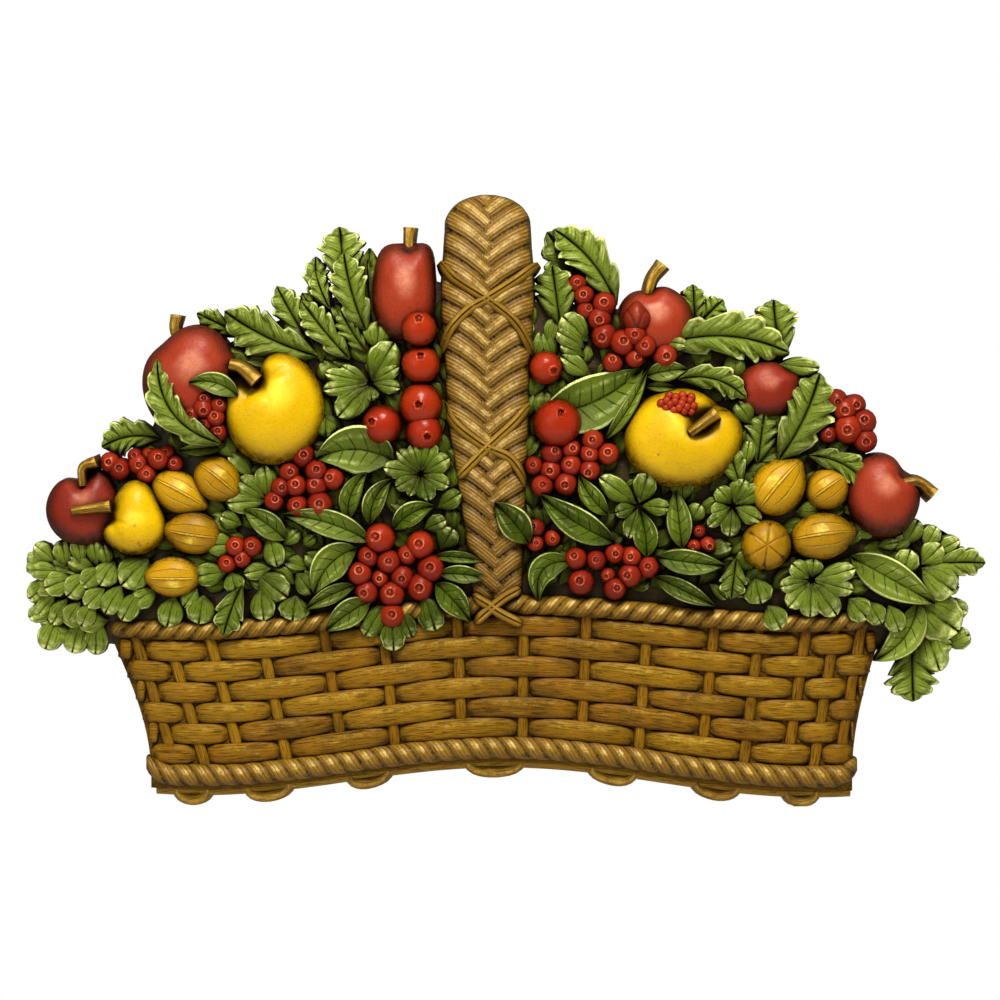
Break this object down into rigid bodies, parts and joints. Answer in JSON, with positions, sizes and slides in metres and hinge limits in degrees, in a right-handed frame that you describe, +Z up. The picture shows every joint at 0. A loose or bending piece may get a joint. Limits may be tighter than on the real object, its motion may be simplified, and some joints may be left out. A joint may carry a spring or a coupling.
{
  "type": "decorative wall plaque",
  "caption": "Moulded relief of a wicker basket heaped with fruit, nuts, berries and leaves, with a braided upright handle, made to hang flat on a wall.",
  "frame": {"origin": "on the flat back, at the middle of the outline, behind the foot of the handle", "axes": "+X to the viewer's right, +Z up the wall, +Y into the wall; the relief faces -Y"},
  "size_m": [0.5737, 0.0557, 0.365],
  "materials": {
    "painted_plastic": "moulded plastic, painted in greens, reds, yellows and straw brown with a dark antique wash in the hollows, satin"
  },
  "bodies": {
    "root": {"plaque": "painted_plastic"}
  },
  "joints": []
}
